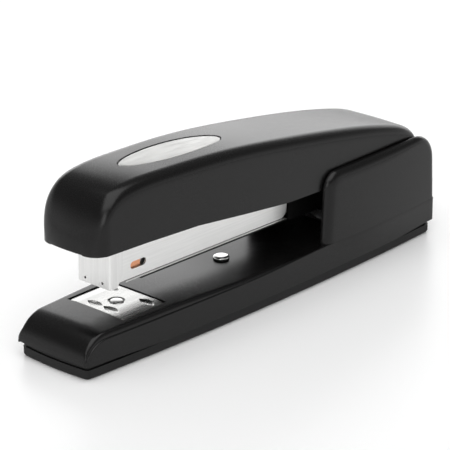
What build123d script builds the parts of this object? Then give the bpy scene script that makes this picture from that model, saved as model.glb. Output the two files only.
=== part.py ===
from build123d import *
import os

os.makedirs("parts", exist_ok=True)

# A full-strip desk stapler. Millimetres. The nose points to -X, the hinge is at the +X end,
# +Z is up and the object is symmetric about y = 0. The origin is under the middle of the base.
# "Station" is a distance back from the base's front edge; st() turns it into X.

# ---- Overall -------------------------------------------------------------------------------
LENGTH = 190.0
SHEET = 1.2               # steel of the base and the cover
RUNNING = 0.06            # radial clearance of every turning or sliding fit


def st(station):
    return station - LENGTH / 2


# ---- Base ----------------------------------------------------------------------------------
HALF_FRONT = 17.2         # half widths of the base at its front, middle and rear
HALF_MID = 21.4
HALF_REAR = 19.6
END_BOW = 1.0             # how far the two ends bulge at the centre line
SHELL_BOTTOM = 4.4
DECK_TOP = 14.5
DECK_NOSE_LONG = 11.0     # the front is a quarter of an ellipse, this long, up to the deck
DECK_REAR_RAKE = 0.6
# the shoulders, from the walls' crease in to the flat deck: distances in, and drops below the deck
SHOULDER = [(0.8, 1.7), (2.8, 0.9), (5.4, 0.3), (8.6, 0.0)]
CORNER_R = 2.8
CORNER_LEAST_R = 0.8
SOLE_TOP = 3.7
SOLE_INSET = 1.0
SOLE_STEP_IN = 0.8        # the groove under the shell's lip is this deep
SOLE_KEY_TOP = 7.5
SOLE_EDGE_R = 1.2

# ---- Wings (the raised sides around the hinge) ---------------------------------------------
WING_FRONT = 121.5
WING_TOP = 42.0
WING_HALF_FRONT = 21.9
WING_HALF_MID = 21.5
WING_FOOT = 12.0
WING_FRONT_LEAN = 1.4
WING_REAR_LEAN = 2.0
WING_SLOT_HALF = 17.9     # the wings' curled edges stop here, leaving room for the cover
WING_EDGE_R = 2.6
WING_FRONT_TOP_R = 7.0
REAR_SILL = 16.5          # height of the low wall between the wings at the very back
WING_REAR_TOP_R = 11.0

# ---- Hinge ---------------------------------------------------------------------------------
PIN_STATION = 171.0
PIN_X = st(PIN_STATION)
PIN_Z = 33.0
PIN_R = 2.0
PIN_HALF = 18.9
BRACKET_HALF = 18.9
BRACKET_SHEET = 0.9
BRACKET_FLOOR = 1.0
BRACKET_FRONT = 150.0
BRACKET_REAR = 180.0
BRACKET_EAR_R = 6.0
RIVET_STATIONS = (153.5, 176.5)
RIVET_Y = 7.0
RIVET_R = 1.5
RIVET_HEAD_R = 2.6
RIVET_HEAD = 0.7
LEAF_TIP = 127.0          # the base's return spring, a leaf under the magazine
LEAF_ROOT = 141.0
LEAF_TOP = 22.9
LEAF_THICK = 0.6
LEAF_HALF = 5.0
STUD_STATION = 87.7
STUD_R = 3.0
STUD_EDGE_R = 0.6
STUD_NECK_R = 1.5
STUD_NECK = 0.5
STUD_HEIGHT = 1.35
CLIP_Y = 12.5
CLIP_THICK = 0.8
BUSH_Y = (8.0, 9.25)
BUSH_R = 3.4

# ---- Magazine, drawn level and then tipped nose-up about the pin ---------------------------
MAG_PITCH = 0.9
NOSE_STATION = 22.0
NOSE_BOTTOM = 22.6
NOSE_SHEET = 0.8
NOSE_WRAP = 28.2          # the nose plate's side flanges reach back to this station
NOSE_HALF = 8.0
NOSE_FLANGE = 0.6
NOSE_TOP = 38.6
SHEATH_HALF = 7.4
SHEATH_SHEET = 0.7
SHEATH_FRONT = 25.0
SHEATH_REAR = 115.6
SHEATH_FLOOR = 24.0
SHEATH_TOP = 36.8
SHEATH_CORNER_R = 3.4
STAPLE_EXIT = 28.5        # the sheath has no floor ahead of this station
NOSE_HOLE_Y = 4.2
NOSE_HOLE_Z = 24.4
RUNNER_FRONT = 30.0
MAG_RIVET_STATIONS = (52.0, 98.0)
RAIL_HALF = 5.85
RAIL_SHEET = 0.8
RAIL_FRONT = 25.6
RAIL_REAR = 143.5
RAIL_TOP = 31.6
RUNNER_HALF = 7.7         # the bright strip between the sheath and the carrier
RUNNER_Z = (23.3, 23.85)
CARRIER_BOTTOM = 22.5
CARRIER_HALF = 7.85
CARRIER_SHEET = 0.8
CARRIER_FRONT = 38.0
CARRIER_UP = 116.2        # behind this station the carrier's sides stand up
CARRIER_TOP = 37.4
CARRIER_TAIL = 160.0
EAR_R = 7.0
WINDOW = (32.7, 40.5)     # the sight slot in the sheath: its two ends, then its height
WINDOW_LOW = 27.2
WINDOW_HIGH = 30.0
ROD_Z = 28.4
ROD_R = 1.25
ROD_REAR = 156.0
ANCHOR_FRONT = 152.0
ANCHOR_REAR = 155.0

# ---- Pusher --------------------------------------------------------------------------------
PUSHER_FRONT = 26.6
PUSHER_REAR = 38.4
PUSHER_HALF = 6.5
PUSHER_LEG = 0.5
PUSHER_TOP = 32.6
PUSHER_BLOCK_REAR = 30.2
PUSHER_LOW = 25.7
SPRING_R = 2.5
WIRE_R = 0.3
SEAT_STATION = 136.0      # the bridge that carries the cover's return spring
SEAT_LONG = 13.0
SEAT_THICK = 0.8
SEAT_PEG_R = 3.2
SEAT_PEG = 3.4
COVER_COIL_R = 5.0
COVER_COIL_LONG = 8.9
COVER_WIRE_R = 0.5

# ---- Cover ---------------------------------------------------------------------------------
COVER_HALF_FRONT = 14.8
COVER_HALF_MID = 17.2
COVER_HALF_REAR = 16.9
COVER_CORNER_R = 7.0
COVER_REAR = 186.0
# the cover's outline seen from the side, from the lower edge of its front face over to its tail
COVER_LINE = [(8.0, 42.0), (8.6, 47.0), (10.5, 53.0), (14.0, 59.0), (18.5, 63.0), (26, 65.0), (45, 65.3),
              (75, 63.8), (110, 59.6), (145, 54.0), (168, 49.0), (180, 43.8), (186, 36.5)]
COVER_SKIRT = [(184, 32), (176, 27.4), (166, 27.4), (150, 34.0), (122, 35.4), (105, 35.9), (84, 38.0),
               (58, 40.8), (33, 41.8), (15, 42.1)]
COVER_TOP_R = 4.6
COVER_BORE_REACH = 7.4    # the cover's sides reach this far around the pin
EMBLEM_STATION = 61.0
EMBLEM_LONG = 51.0
EMBLEM_WIDE = 15.0
EMBLEM_RIM = 0.45
EMBLEM_RECESS = 0.65
EMBLEM_LOW = 0.1          # the plate's face sits this far below the cover's top
FRAME_HALF = 10.4
FRAME_SHEET = 1.0
FRAME_FRONT = 31.0
FRAME_EAR_R = 6.0
FRAME_TOP_LINE = [(31.0, 58.0), (72.0, 57.6), (110.0, 53.8), (145.0, 48.6), (171.0, 39.5)]
FRAME_RIVET_STATIONS = (92.0, 118.0)
BOSS_R = 2.9
BOSS_HOLE = 2.5
RIVET_SINK = 0.36
TONGUE_HALF = 6.2
TONGUE_TOP = 58.0
TAB_STATION = 24.9        # front face of the tab that carries the driver blade
TAB_LOW = 48.0
BLADE_THICK = 0.6
BLADE_TOP = 56.0
BLADE_HALF = 6.2
BLADE_TIP = 35.3
BLADE_RIVET_Y = 3.4
BLADE_RIVET_R = 1.0

# ---- Anvil ---------------------------------------------------------------------------------
ANVIL_STATION = 32.9
ANVIL_LONG = 20.8
ANVIL_HALF = 13.5
ANVIL_THICK = 0.6
POST_R = 2.6
BUTTON_R = 5.5
BUTTON_BOTTOM = 5.2
BUTTON_THICK = 1.6
FINGER_HOLE_R = 8.5
GROOVE_OFFSET = 7.6
GROOVE_Y = 3.7
GROOVE_LONG = 5.4
GROOVE_WIDE = 2.3
GROOVE_DEEP = 0.35
ANVIL_CORNER_R = 1.6
POST_TOP_R = 1.8
POST_HEAD_R = 2.9
ANVIL_COIL_R = 4.4
ANVIL_WIRE_R = 0.4


def save(name, shape):
    """Writes one sub-part; the file's name is the sub-part's name."""
    export_step(shape, f"parts/{name}.step")


def block(x0, x1, y0, y1, z0, z1):
    """A plain block between two corners."""
    box = Box(x1 - x0, y1 - y0, z1 - z0)
    return Pos((x0 + x1) / 2, (y0 + y1) / 2, (z0 + z1) / 2) * box


def across(radius, half, x, z):
    """A round bar along Y, centred on the plane of symmetry."""
    return Pos(x, 0, z) * Rot(90, 0, 0) * Cylinder(radius, 2 * half)


def upright(radius, x, y, z0, z1):
    """A round bar along Z."""
    return Pos(x, y, (z0 + z1) / 2) * Cylinder(radius, z1 - z0)


def tip(shape):
    """Turns a level magazine piece nose-up about the hinge pin."""
    return shape.rotate(Axis((PIN_X, 0, PIN_Z), (0, 1, 0)), MAG_PITCH)


def plan(front, rear, half_front, half_mid, half_rear, corner_front, corner_rear, z):
    """A boat-shaped plan outline at height z, between two stations, with rounded corners."""
    x0, x1 = st(front), st(rear)
    xm = (x0 + x1) / 2
    edges = [
        ThreePointArc((x0, half_front), (xm, half_mid), (x1, half_rear)),
        ThreePointArc((x1, half_rear), (x1 + END_BOW, 0), (x1, -half_rear)),
        ThreePointArc((x1, -half_rear), (xm, -half_mid), (x0, -half_front)),
        ThreePointArc((x0, -half_front), (x0 - END_BOW, 0), (x0, half_front)),
    ]
    face = make_face(edges)
    face = fillet(face.vertices().filter_by(lambda v: v.X < xm), corner_front)
    face = fillet(face.vertices().filter_by(lambda v: v.X > st(rear) - 1), corner_rear)
    return Pos(0, 0, z) * face


def base_plan(inset, z, rear_extra=0.0):
    """The base's plan outline, drawn in by inset all round, and further at its rear."""
    front = END_BOW + inset
    rear = LENGTH - END_BOW - inset - rear_extra
    corner = max(CORNER_R - inset, CORNER_LEAST_R)
    halves = (HALF_FRONT - inset, HALF_MID - inset, HALF_REAR - inset)
    return plan(front, rear, *halves, corner, corner, z)


def deck_body(inset, bottom, top):
    """The base without its wings: leaning walls up to a crease, shoulders that curve in to a flat
    deck, and a front that rounds over from the lip to the deck."""
    rings = [base_plan(inset, bottom)]
    rings += [base_plan(inset + into, top - drop, DECK_REAR_RAKE) for into, drop in SHOULDER]
    body = loft(rings[:2], ruled=True)
    for lower, upper in zip(rings[1:], rings[2:]):
        body += loft([lower, upper], ruled=True)
    return body & nose_cutter(inset, bottom, top)


def nose_cutter(inset, bottom, top):
    """All that lies behind and under the quarter ellipse of the base's front."""
    x0, x1, x2 = st(inset), st(DECK_NOSE_LONG), st(LENGTH + 5)
    round_part = Pos(x1, bottom) * Ellipse(x1 - x0, top - bottom)
    long_part = Pos((x1 + x2) / 2, bottom) * Rectangle(x2 - x1, 2 * (top - bottom))
    face = round_part + long_part
    return upright_profile(face, 3 * HALF_MID)


def upright_profile(face, width):
    """A face drawn as (x, z) in the XY plane, stood up in the XZ plane and made width thick."""
    return extrude(Rot(90, 0, 0) * face, width / 2, both=True)


def side_polygon(points):
    """A closed side outline from (station, z) points."""
    return make_face(Polyline(*[(st(s), z) for s, z in points], close=True))


def across_profile(points, half):
    """A side outline made into a solid reaching half to each side of y = 0."""
    return upright_profile(side_polygon(points), 2 * half)


def wing_outline(inset, z, lean):
    """The wings' plan outline at height z: square at the front, rounded at the rear."""
    x0 = st(WING_FRONT + inset)
    x1 = st(LENGTH - END_BOW - inset - lean)
    xm = st((WING_FRONT + LENGTH) / 2)
    y_front, y_mid, y_rear = WING_HALF_FRONT - inset, WING_HALF_MID - inset, HALF_REAR - inset
    outline = make_face([
        ThreePointArc((x0, y_front), (xm, y_mid), (x1, y_rear)),
        ThreePointArc((x1, y_rear), (x1 + END_BOW, 0), (x1, -y_rear)),
        ThreePointArc((x1, -y_rear), (xm, -y_mid), (x0, -y_front)),
        Line((x0, -y_front), (x0, y_front)),
    ])
    rear_corners = outline.vertices().filter_by(lambda v: v.X > xm)
    return Pos(0, 0, z) * fillet(rear_corners, max(CORNER_R - inset, CORNER_LEAST_R))


def wing_body(inset):
    """The raised rear of the base as one block: both wings and what lies between them."""
    top = WING_TOP - inset
    column = loft([wing_outline(inset, WING_FOOT, 0), wing_outline(inset, top, WING_REAR_LEAN)], ruled=True)
    front = WING_FRONT + inset
    rear = LENGTH - WING_REAR_LEAN - inset
    side = side_polygon([(front - 1, WING_FOOT - 1), (front + WING_FRONT_LEAN, top), (rear, top),
                         (rear + 5, WING_FOOT - 1)])
    high = side.vertices().filter_by(lambda v: v.Y > WING_FOOT)
    side = fillet(high.sort_by(Axis.X)[0], WING_FRONT_TOP_R - inset)
    high = side.vertices().filter_by(lambda v: v.Y > WING_FOOT)
    side = fillet(high.sort_by(Axis.X)[-1], WING_REAR_TOP_R - inset)
    body = column & upright_profile(side, 3 * WING_HALF_FRONT)
    return fillet(wing_rim(body), WING_EDGE_R - inset)


def wing_rim(body):
    """The outer edges of the wings' faces, which are rounded over; seams between tangent faces stay."""
    rim = body.edges().filter_by(lambda e: abs(e.center().Y) > 15 and e.center().Z > WING_FOOT + 1)
    return rim.filter_by(lambda e: not is_seam(e))


def is_seam(edge):
    """True where an edge runs up the rear corner between two faces that are tangent."""
    return edge.center().X > st(WING_FRONT + 20) and abs(edge.tangent_at(0.5).Z) > 0.95


# ---- Base pieces ---------------------------------------------------------------------------
def make_base_shell():
    outer = deck_body(0, SHELL_BOTTOM, DECK_TOP) + wing_body(0)
    under = deck_body(SHEET, SHELL_BOTTOM, DECK_TOP - SHEET)
    above = wing_body(SHEET) & block(0, LENGTH, -LENGTH, LENGTH, DECK_TOP, WING_TOP + 1)
    half = WING_SLOT_HALF
    slot = block(st(WING_FRONT - 1), st(LENGTH + 1), -half, half, REAR_SILL, WING_TOP + 1)
    slot += block(st(WING_FRONT - 1), st(WING_FRONT + 9), -half, half, DECK_TOP, REAR_SILL)
    shell = outer - under - above - slot
    shell -= upright(POST_R + RUNNING, st(ANVIL_STATION), 0, 0, DECK_TOP + 1)
    shell -= upright(STUD_NECK_R, st(STUD_STATION), 0, 0, DECK_TOP + 1)
    for x, y in rivet_places():
        shell -= upright(RIVET_R, x, y, 0, DECK_TOP + 1)
    return shell


def rivet_places():
    """The four rivets that hold the hinge bracket down."""
    return [(st(s), y) for s in RIVET_STATIONS for y in (-RIVET_Y, RIVET_Y)]


def make_rubber_sole():
    slab = extrude(base_plan(SOLE_INSET, 0), SOLE_TOP)
    slab = fillet(slab.faces().sort_by(Axis.Z)[0].edges(), SOLE_EDGE_R)
    step = extrude(base_plan(SOLE_INSET + SOLE_STEP_IN, SOLE_TOP), SHELL_BOTTOM - SOLE_TOP)
    inside = deck_body(SHEET, SHELL_BOTTOM, DECK_TOP - SHEET)
    key = inside & block(-LENGTH, LENGTH, -LENGTH, LENGTH, SHELL_BOTTOM, SOLE_KEY_TOP)
    sole = slab + step + key
    return sole - upright(FINGER_HOLE_R, st(ANVIL_STATION), 0, -1, DECK_TOP)


def make_hinge_bracket():
    rear_up = BRACKET_REAR
    ear = side_polygon([(BRACKET_FRONT + 8, DECK_TOP), (rear_up, DECK_TOP),
                        (PIN_STATION + 5, PIN_Z + 4), (PIN_STATION - 5, PIN_Z + 4)])
    ear += Pos(PIN_X, PIN_Z) * Circle(BRACKET_EAR_R)
    ears = upright_profile(ear, 2 * BRACKET_HALF)
    gap = BRACKET_HALF - BRACKET_SHEET
    ears -= block(-LENGTH, LENGTH, -gap, gap, 0, LENGTH)
    floor = block(st(BRACKET_FRONT), st(rear_up), -BRACKET_HALF, BRACKET_HALF,
                  DECK_TOP, DECK_TOP + BRACKET_FLOOR)
    bracket = ears + floor - across(PIN_R + RUNNING, BRACKET_HALF + 1, PIN_X, PIN_Z)
    for x, y in rivet_places():
        bracket -= upright(RIVET_R, x, y, 0, DECK_TOP + 3)
    return bracket


def make_bracket_rivets():
    rivets = []
    for x, y in rivet_places():
        top = DECK_TOP + BRACKET_FLOOR
        shank = upright(RIVET_R, x, y, DECK_TOP - SHEET - 0.6, top)
        head = upright(RIVET_HEAD_R, x, y, top, top + RIVET_HEAD)
        tail = upright(RIVET_HEAD_R, x, y, DECK_TOP - SHEET - 0.6, DECK_TOP - SHEET)
        rivets.append(shank + head + tail)
    return Compound(rivets)


def make_base_return_spring():
    """A leaf that lies on the deck and rises forwards to meet the underside of the magazine."""
    x0, x1 = LEAF_TIP, LEAF_ROOT
    top = LEAF_TOP
    leaf = across_profile([
        (x1 + 7, DECK_TOP), (x1 + 7, DECK_TOP + LEAF_THICK), (x1, DECK_TOP + LEAF_THICK),
        (x0 + 3, top), (x0, top), (x0, top - LEAF_THICK), (x0 + 2.7, top - LEAF_THICK),
        (x1 - 0.4, DECK_TOP)], LEAF_HALF)
    return leaf


def make_deck_stud():
    """A round-headed stud on a dark neck ring, riveted through the deck."""
    x = st(STUD_STATION)
    head = upright(STUD_R, x, 0, DECK_TOP + STUD_NECK, DECK_TOP + STUD_HEIGHT)
    head = fillet(head.edges().sort_by(Axis.Z)[-1], STUD_EDGE_R)
    neck = upright(STUD_NECK_R, x, 0, DECK_TOP - SHEET - 0.8, DECK_TOP + STUD_NECK)
    tail = upright(STUD_NECK_R + 1, x, 0, DECK_TOP - SHEET - 0.8, DECK_TOP - SHEET)
    return head + neck + tail


def make_stud_washer():
    x = st(STUD_STATION)
    ring = upright(STUD_R, x, 0, DECK_TOP, DECK_TOP + STUD_NECK)
    return ring - upright(STUD_NECK_R, x, 0, 0, DECK_TOP + 3)


# ---- Anvil pieces --------------------------------------------------------------------------
def make_anvil_plate():
    x = st(ANVIL_STATION)
    with BuildPart() as plate:
        with BuildSketch(Plane.XY.offset(DECK_TOP)):
            RectangleRounded(ANVIL_LONG, 2 * ANVIL_HALF, ANVIL_CORNER_R)
        extrude(amount=ANVIL_THICK)
        with BuildSketch(Plane.XY.offset(DECK_TOP + ANVIL_THICK)):
            for side in (-1, 1):
                with Locations((-GROOVE_OFFSET, side * GROOVE_Y), (GROOVE_OFFSET, side * GROOVE_Y)):
                    SlotOverall(GROOVE_LONG, GROOVE_WIDE, rotation=90)
        extrude(amount=-GROOVE_DEEP, mode=Mode.SUBTRACT)
    body = Pos(x, 0, 0) * plate.part
    return body - upright(POST_TOP_R + RUNNING, x, 0, 0, DECK_TOP + 5)


def make_anvil_post():
    """The push button under the base, its shaft through the deck and the head over the plate."""
    x = st(ANVIL_STATION)
    plate_top = DECK_TOP + ANVIL_THICK
    button = upright(BUTTON_R, x, 0, BUTTON_BOTTOM, BUTTON_BOTTOM + BUTTON_THICK)
    button = fillet(button.edges().sort_by(Axis.Z)[0], 0.6)
    shaft = upright(POST_R, x, 0, BUTTON_BOTTOM, DECK_TOP - RUNNING)
    stem = upright(POST_TOP_R, x, 0, BUTTON_BOTTOM, plate_top + 0.3)
    head = upright(POST_HEAD_R, x, 0, plate_top + RUNNING, plate_top + 0.55)
    head = fillet(head.edges().sort_by(Axis.Z)[-1], 0.3)
    return button + shaft + stem + head


def make_anvil_spring():
    x = st(ANVIL_STATION)
    low, high = BUTTON_BOTTOM + BUTTON_THICK, DECK_TOP - SHEET
    coil = upright(ANVIL_COIL_R, x, 0, low, high)
    return coil - upright(ANVIL_COIL_R - 2 * ANVIL_WIRE_R, x, 0, 0, DECK_TOP)


# ---- Hinge pin -----------------------------------------------------------------------------
def make_hinge_pin():
    pin = across(PIN_R, PIN_HALF, PIN_X, PIN_Z)
    return chamfer(pin.edges().filter_by(GeomType.CIRCLE), 0.3)


def make_pin_clips():
    """A spring clip in each end of the pin's length, just inside the cover's sides."""
    ring = across(PIN_R + 1.6, CLIP_Y + CLIP_THICK / 2, PIN_X, PIN_Z)
    ring -= across(PIN_R + 2, CLIP_Y - CLIP_THICK / 2, PIN_X, PIN_Z)
    ring -= across(PIN_R, LENGTH, PIN_X, PIN_Z)
    mouth = block(PIN_X - 1.1, PIN_X + 1.1, -LENGTH, LENGTH, PIN_Z - 9, PIN_Z)
    return ring - mouth


def make_pin_bushes():
    """Two sleeves on the pin, between the magazine's ears and the cover frame's ears."""
    outer = across(BUSH_R, BUSH_Y[1], PIN_X, PIN_Z) - across(BUSH_R + 1, BUSH_Y[0], PIN_X, PIN_Z)
    return outer - across(PIN_R + RUNNING, LENGTH, PIN_X, PIN_Z)


# ---- Magazine pieces -----------------------------------------------------------------------
def make_magazine_sheath():
    side = side_polygon([(SHEATH_FRONT, SHEATH_FLOOR), (SHEATH_REAR, SHEATH_FLOOR),
                         (SHEATH_REAR, SHEATH_TOP), (SHEATH_FRONT, SHEATH_TOP)])
    lower_rear = side.vertices().sort_by(Axis.X)[-2:].sort_by(Axis.Y)[0]
    side = fillet(lower_rear, SHEATH_CORNER_R)
    body = upright_profile(side, 2 * SHEATH_HALF)
    inner = SHEATH_HALF - SHEATH_SHEET
    body -= block(-LENGTH, LENGTH, -inner, inner, SHEATH_FLOOR + SHEATH_SHEET, SHEATH_TOP + 1)
    body -= block(-LENGTH, st(STAPLE_EXIT), -inner, inner, 0, SHEATH_TOP)
    slot = Pos(st(sum(WINDOW) / 2), (WINDOW_LOW + WINDOW_HIGH) / 2) * SlotOverall(
        WINDOW[1] - WINDOW[0], WINDOW_HIGH - WINDOW_LOW)
    body -= upright_profile(slot, 3 * SHEATH_HALF)
    for x in magazine_rivet_places():
        body -= upright(RIVET_R, x, 0, 0, RAIL_TOP - 3)
    return tip(body)


def make_nose_plate():
    """The front wall of the magazine, wrapped back round both sides, with its lower corners cut."""
    cut = NOSE_WRAP - 25.4
    side = side_polygon([(NOSE_STATION, NOSE_BOTTOM), (25.4, NOSE_BOTTOM),
                         (NOSE_WRAP, NOSE_BOTTOM + 1.4 * cut), (NOSE_WRAP, NOSE_TOP),
                         (NOSE_STATION, NOSE_TOP)])
    body = upright_profile(side, 2 * NOSE_HALF)
    inner = NOSE_HALF - NOSE_FLANGE
    front_edges = body.edges().filter_by(Axis.Z).group_by(Axis.X)[0]
    body = fillet(front_edges, 0.9)
    body -= block(st(NOSE_STATION + NOSE_SHEET), LENGTH, -inner, inner, 0, NOSE_TOP + 1)
    for y in (-NOSE_HOLE_Y, NOSE_HOLE_Y):
        hole = Pos(st(NOSE_STATION), y, NOSE_HOLE_Z) * Rot(0, 90, 0) * Cylinder(0.55, 4)
        body -= hole
    return tip(body)


def make_staple_rail():
    """An open channel; the staples ride astride its two walls and the guide rod lies inside it."""
    floor = SHEATH_FLOOR + SHEATH_SHEET
    x0, x1 = st(RAIL_FRONT), st(RAIL_REAR)
    inner = RAIL_HALF - RAIL_SHEET
    body = block(x0, x1, -RAIL_HALF, RAIL_HALF, floor, RAIL_TOP)
    body -= block(x0 + 0.8, x1 + 1, -inner, inner, floor + RAIL_SHEET, RAIL_TOP + 1)
    body -= block(x0 - 1, x0 + 0.9, -inner, inner, RAIL_TOP - 0.9, RAIL_TOP + 1)
    for x in magazine_rivet_places():
        body -= upright(RIVET_R, x, 0, 0, RAIL_TOP - 3)
    return tip(body)


def make_runner_strip():
    low, high = RUNNER_Z
    x0, x1 = st(RUNNER_FRONT), st(SHEATH_REAR - 0.6)
    body = block(x0, x1, -RUNNER_HALF, RUNNER_HALF, low, high)
    body += block(x0 + 1, x1 - 1, -RUNNER_HALF + 0.6, RUNNER_HALF - 0.6, high, SHEATH_FLOOR)
    for x in magazine_rivet_places():
        body -= upright(RIVET_R, x, 0, 0, RAIL_TOP)
    return tip(body)


def make_magazine_carrier():
    """The black channel under the sheath; behind it the sides stand up and carry the hinge ears."""
    floor_top = RUNNER_Z[0]
    strip = block(st(CARRIER_FRONT), st(CARRIER_UP + 1), -CARRIER_HALF + 0.4, CARRIER_HALF - 0.4,
                  CARRIER_BOTTOM, floor_top)
    side = side_polygon([(CARRIER_UP, CARRIER_BOTTOM), (CARRIER_TAIL, CARRIER_BOTTOM),
                         (PIN_STATION - 3, PIN_Z - EAR_R + 0.7), (PIN_STATION, PIN_Z),
                         (PIN_STATION - 3, PIN_Z + EAR_R - 0.7), (CARRIER_TAIL + 2, CARRIER_TOP),
                         (CARRIER_UP, CARRIER_TOP)])
    side += Pos(PIN_X, PIN_Z) * Circle(EAR_R)
    inner = CARRIER_HALF - CARRIER_SHEET
    box = upright_profile(side, 2 * CARRIER_HALF)
    box -= block(-LENGTH, LENGTH, -inner, inner, floor_top, LENGTH)
    box -= block(st(CARRIER_TAIL), LENGTH, -inner, inner, 0, LENGTH)
    body = strip + box - across(PIN_R + RUNNING, LENGTH, PIN_X, PIN_Z)
    for x in magazine_rivet_places():
        body -= upright(RIVET_R, x, 0, 0, RAIL_TOP)
    return tip(body)


def magazine_rivet_places():
    return [st(s) for s in MAG_RIVET_STATIONS]


def make_magazine_rivets():
    """Rivets through the carrier, runner strip, sheath floor and rail floor."""
    rivets = []
    rail_floor = SHEATH_FLOOR + SHEATH_SHEET + RAIL_SHEET
    for x in magazine_rivet_places():
        shank = upright(RIVET_R, x, 0, CARRIER_BOTTOM, rail_floor)
        head = upright(RIVET_R + 0.7, x, 0, rail_floor, rail_floor + 0.25)
        rivets.append(tip(shank + head))
    return Compound(rivets)


def rod_bar(radius, front, rear):
    """A round bar along the guide rod's line, between two stations, before the magazine is tipped."""
    length = rear - front
    return Pos(st((front + rear) / 2), 0, ROD_Z) * Rot(0, 90, 0) * Cylinder(radius, length)


def make_guide_rod():
    return tip(rod_bar(ROD_R, RAIL_FRONT + 0.8, ROD_REAR))


def make_rod_anchor():
    inner = CARRIER_HALF - CARRIER_SHEET
    plate = block(st(ANCHOR_FRONT), st(ANCHOR_REAR), -inner, inner, RUNNER_Z[0], ROD_Z + 5)
    return tip(plate - rod_bar(ROD_R, ANCHOR_FRONT - 1, ANCHOR_REAR + 1))


def make_pusher_spring():
    coil = rod_bar(SPRING_R, PUSHER_BLOCK_REAR, ANCHOR_FRONT)
    return tip(coil - rod_bar(SPRING_R - 2 * WIRE_R, PUSHER_BLOCK_REAR - 1, ANCHOR_FRONT + 1))


def make_spring_seat():
    """A bridge across the carrier's sides, with a peg that centres the cover's return spring."""
    x = st(SEAT_STATION)
    bridge = block(x - SEAT_LONG / 2, x + SEAT_LONG / 2, -CARRIER_HALF, CARRIER_HALF,
                   CARRIER_TOP, CARRIER_TOP + SEAT_THICK)
    peg = upright(SEAT_PEG_R, x, 0, CARRIER_TOP, CARRIER_TOP + SEAT_PEG)
    return tip(bridge + peg)


def make_cover_return_spring():
    x = st(SEAT_STATION)
    low = CARRIER_TOP + SEAT_THICK
    coil = upright(COVER_COIL_R, x, 0, low, low + COVER_COIL_LONG)
    return tip(coil - upright(COVER_COIL_R - 2 * COVER_WIRE_R, x, 0, 0, LENGTH))


def make_pusher():
    """The follower: a saddle over the rail's walls and a block inside them that slides on the rod."""
    x0, x1 = st(PUSHER_FRONT), st(PUSHER_REAR)
    plate_low = PUSHER_TOP - 0.6
    saddle = block(x0, x1, -PUSHER_HALF, PUSHER_HALF, PUSHER_LOW, PUSHER_TOP)
    hollow = PUSHER_HALF - PUSHER_LEG
    saddle -= block(x0 - 1, x1 + 1, -hollow, hollow, 0, plate_low)
    core = RAIL_HALF - RAIL_SHEET - 0.4
    slider = block(x0, st(PUSHER_BLOCK_REAR), -core, core, PUSHER_LOW + 1, plate_low)
    bore = rod_bar(ROD_R + RUNNING, PUSHER_FRONT - 1, PUSHER_REAR)
    return tip(saddle + slider - bore)


# ---- Cover pieces --------------------------------------------------------------------------
def inward(line, inset):
    """A line of (station, z) points moved to its right-hand side by inset, square to itself."""
    moved = []
    for i, (s, z) in enumerate(line):
        (s0, z0), (s1, z1) = line[max(i - 1, 0)], line[min(i + 1, len(line) - 1)]
        long = ((s1 - s0) ** 2 + (z1 - z0) ** 2) ** 0.5
        moved.append((s + inset * (z1 - z0) / long, z - inset * (s1 - s0) / long))
    return moved


def cover_side(inset, drop=0.0, closed=True):
    """The cover's side outline, drawn in by inset; drop lowers it. An unclosed one runs down past
    the open underside, for hollowing out."""
    line = inward(COVER_LINE, inset)
    if closed:
        sill = [line[-1]] + COVER_SKIRT + [line[0]]
    else:
        line = line[1:]
        sill = [line[-1], (line[-1][0], 10), (line[0][0], 10), line[0]]
    roof = Spline(*[(st(s), z) for s, z in line])
    face = make_face([roof, Polyline(*[(st(s), z) for s, z in sill])])
    if closed:
        face += Pos(PIN_X, PIN_Z) * Circle(COVER_BORE_REACH)
    return Pos(0, -drop) * face


def cover_body(inset, drop=0.0, closed=True):
    """The cover as a solid block, rounded along its top and down its front corners."""
    y_front, y_mid, y_rear = COVER_HALF_FRONT - inset, COVER_HALF_MID - inset, COVER_HALF_REAR - inset
    corner = COVER_CORNER_R - inset
    front = COVER_LINE[0][0] + inset
    rear = COVER_REAR - END_BOW - inset
    outline = plan(front, rear, y_front, y_mid, y_rear, corner, corner, 5)
    side = cover_side(inset, drop, closed)
    body = extrude(outline, LENGTH) & upright_profile(side, 3 * COVER_HALF_MID)
    rim = body.edges().filter_by(GeomType.BSPLINE)
    rim = rim.filter_by(lambda e: abs(e.center().Y) > 13 and e.center().Z > 40)
    return fillet(rim, COVER_TOP_R) if closed else chamfer(rim, COVER_TOP_R / 2)


def emblem_column(rim):
    """An upright oval column through the cover's top, drawn in by rim."""
    oval = Pos(st(EMBLEM_STATION), 0, 50) * Ellipse(EMBLEM_LONG / 2 - rim, EMBLEM_WIDE / 2 - rim)
    return extrude(oval, 30)


def make_cover_shell():
    shell = cover_body(0) - cover_body(SHEET, closed=False)
    floor = upright_profile(cover_side(0, drop=EMBLEM_RECESS), 3 * COVER_HALF_MID)
    shell -= emblem_column(0) - floor
    under_roof = upright_profile(cover_side(0, drop=SHEET / 2), 3 * COVER_HALF_MID)
    for x in [st(s) for s in FRAME_RIVET_STATIONS]:
        seat = frame_top(x - BOSS_R) + 0.02
        boss = upright(BOSS_R, x, 0, seat, LENGTH) & under_roof
        shell += boss - upright(RIVET_R, x, 0, 0, frame_top(x) + BOSS_HOLE)
    return shell - across(PIN_R + RUNNING, LENGTH, PIN_X, PIN_Z)


def make_emblem_plate():
    """A plain oval plate that fills the recess in the cover's top."""
    high = upright_profile(cover_side(0, drop=EMBLEM_LOW), 3 * COVER_HALF_MID)
    low = upright_profile(cover_side(0, drop=EMBLEM_RECESS), 3 * COVER_HALF_MID)
    return (emblem_column(EMBLEM_RIM) & high) - low


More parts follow.
